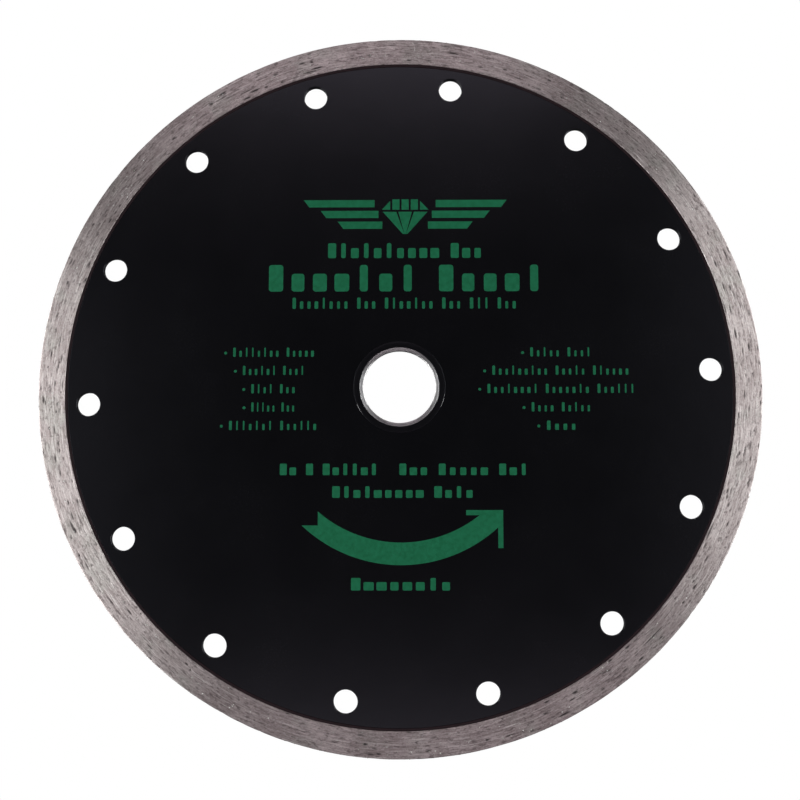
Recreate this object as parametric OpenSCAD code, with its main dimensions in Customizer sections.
// Continuous-rim diamond blade with a reducing bush and a bore ring.
// It stands upright: the spin axis lies along Y, the printed face looks towards -Y, and +Z is up.
// The origin is the bore's centre, halfway through the blade. Each module draws its piece
// lying flat, with the printed face up, and standing() turns it upright.

/* [Blade] */
// Outside diameter over the diamond rim
blade_d = 200; // [180:1:230]
// Radial depth of the diamond rim
rim_depth = 7.3; // [6:0.1:10]
// Thickness of the diamond rim
rim_t = 2.2; // [2:0.1:3]
// Thickness of the steel core
core_t = 1.6; // [1.4:0.1:1.8]

/* [Cooling holes] */
// Number of cooling holes
hole_count = 14; // [8:1:18]
// Diameter of a cooling hole
hole_d = 6.5; // [4:0.1:8]
// Distance from the hole circle out to the edge of the core's faces
hole_inset = 5.7; // [5:0.1:12]
// Angle of the first hole, anticlockwise from +X as seen from the printed side
hole_start = 3.2; // [0:0.1:25]

/* [Bore] */
// Diameter of the hole in the steel core
core_bore_d = 25.4; // [25:0.1:30]
// Inside diameter of the reducing bush
bush_bore_d = 22.2; // [21.8:0.1:23]
// Inside diameter of the bore ring, which the saw's arbor fits
ring_bore_d = 20; // [16:0.1:20]
// Thickness of the bore ring
ring_t = 1.4; // [1.2:0.1:1.4]
// Radial clearance of each push fit
push_gap = 0.03; // [0.02:0.01:0.08]

/* [Rim joint] */
// Radial depth of the diamond-free backing layer between the core and the rim
backing_depth = 0.7; // [0.5:0.1:1.2]
// Thickness of the backing layer
backing_t = 1.8; // [1.8:0.1:2]
// How far the core's thin edge tongue reaches past the core's faces
tongue_reach = 2.5; // [2:0.1:4]
// Thickness of the edge tongue
tongue_t = 0.8; // [0.5:0.1:1]
// Number of anchor notches in the tongue
notch_count = 42; // [24:1:60]
// Width of an anchor notch
notch_w = 2.5; // [1:0.1:3]

/* [Hidden] */
$fn = 180;

blade_r = blade_d / 2;
backing_r = blade_r - rim_depth;
core_r = backing_r - backing_depth;
tongue_r = core_r + tongue_reach;
hole_circle_r = core_r - hole_inset;

// Radius where the anchor notches start, inside the backing layer
notch_r = core_r + 0.3;

// Broken edges: on the rim's cutting corners, on its step down to the backing, and round the bores
rim_edge = 0.2;
step_edge = 0.1;
bore_edge = 0.1;
ring_edge = 0.25;
// How far a cutting tool runs past the faces that it cuts
overcut = 1;

// Turns a piece from lying flat to standing, printed face towards -Y
module standing() {
    rotate([90, 0, 0]) children();
}

// Flat ring of thickness t between radii r_in and r_out, with the edges on each side broken
module ring(r_in, r_out, t, edge_in, edge_out) {
    h = t / 2;
    rotate_extrude() polygon([
        [r_in, -h + edge_in],
        [r_in + edge_in, -h],
        [r_out - edge_out, -h],
        [r_out, -h + edge_out],
        [r_out, h - edge_out],
        [r_out - edge_out, h],
        [r_in + edge_in, h],
        [r_in, h - edge_in]
    ]);
}

// Thin tongue round the core's edge. The backing and the rim are sintered over it and fill
// the anchor notches, which lock them to the steel. grow starts it further in.
module edge_tongue(grow) {
    difference() {
        ring(core_r - grow, tongue_r, tongue_t, 0, 0);
        for (k = [0 : notch_count - 1])
            rotate([0, 0, 360 * k / notch_count])
                translate([notch_r, -notch_w / 2, -tongue_t])
                    cube([tongue_reach, notch_w, 2 * tongue_t]);
    }
}

module steel_core() {
    color([0.06, 0.06, 0.07]) standing() difference() {
        union() {
            ring(core_bore_d / 2, core_r, core_t, bore_edge, 0);
            edge_tongue(overcut);
        }
        for (k = [0 : hole_count - 1])
            rotate([0, 0, hole_start + 360 * k / hole_count])
                translate([hole_circle_r, 0, -core_t / 2 - overcut])
                    cylinder(d = hole_d, h = core_t + 2 * overcut, $fn = 64);
    }
}

module rim_backing() {
    color([0.42, 0.28, 0.22]) standing() difference() {
        ring(core_r, backing_r, backing_t, 0, 0);
        edge_tongue(overcut);
    }
}

module diamond_rim() {
    color([0.7, 0.64, 0.62]) standing() difference() {
        ring(backing_r, blade_r, rim_t, step_edge, rim_edge);
        edge_tongue(0);
    }
}

module reducing_bush() {
    color([0.1, 0.1, 0.11]) standing()
        ring(bush_bore_d / 2, core_bore_d / 2 - push_gap, core_t, bore_edge, bore_edge);
}

module bore_ring() {
    color([0.75, 0.75, 0.77]) standing()
        ring(ring_bore_d / 2, bush_bore_d / 2 - push_gap, ring_t, bore_edge, ring_edge);
}

steel_core();
rim_backing();
diamond_rim();
reducing_bush();
bore_ring();
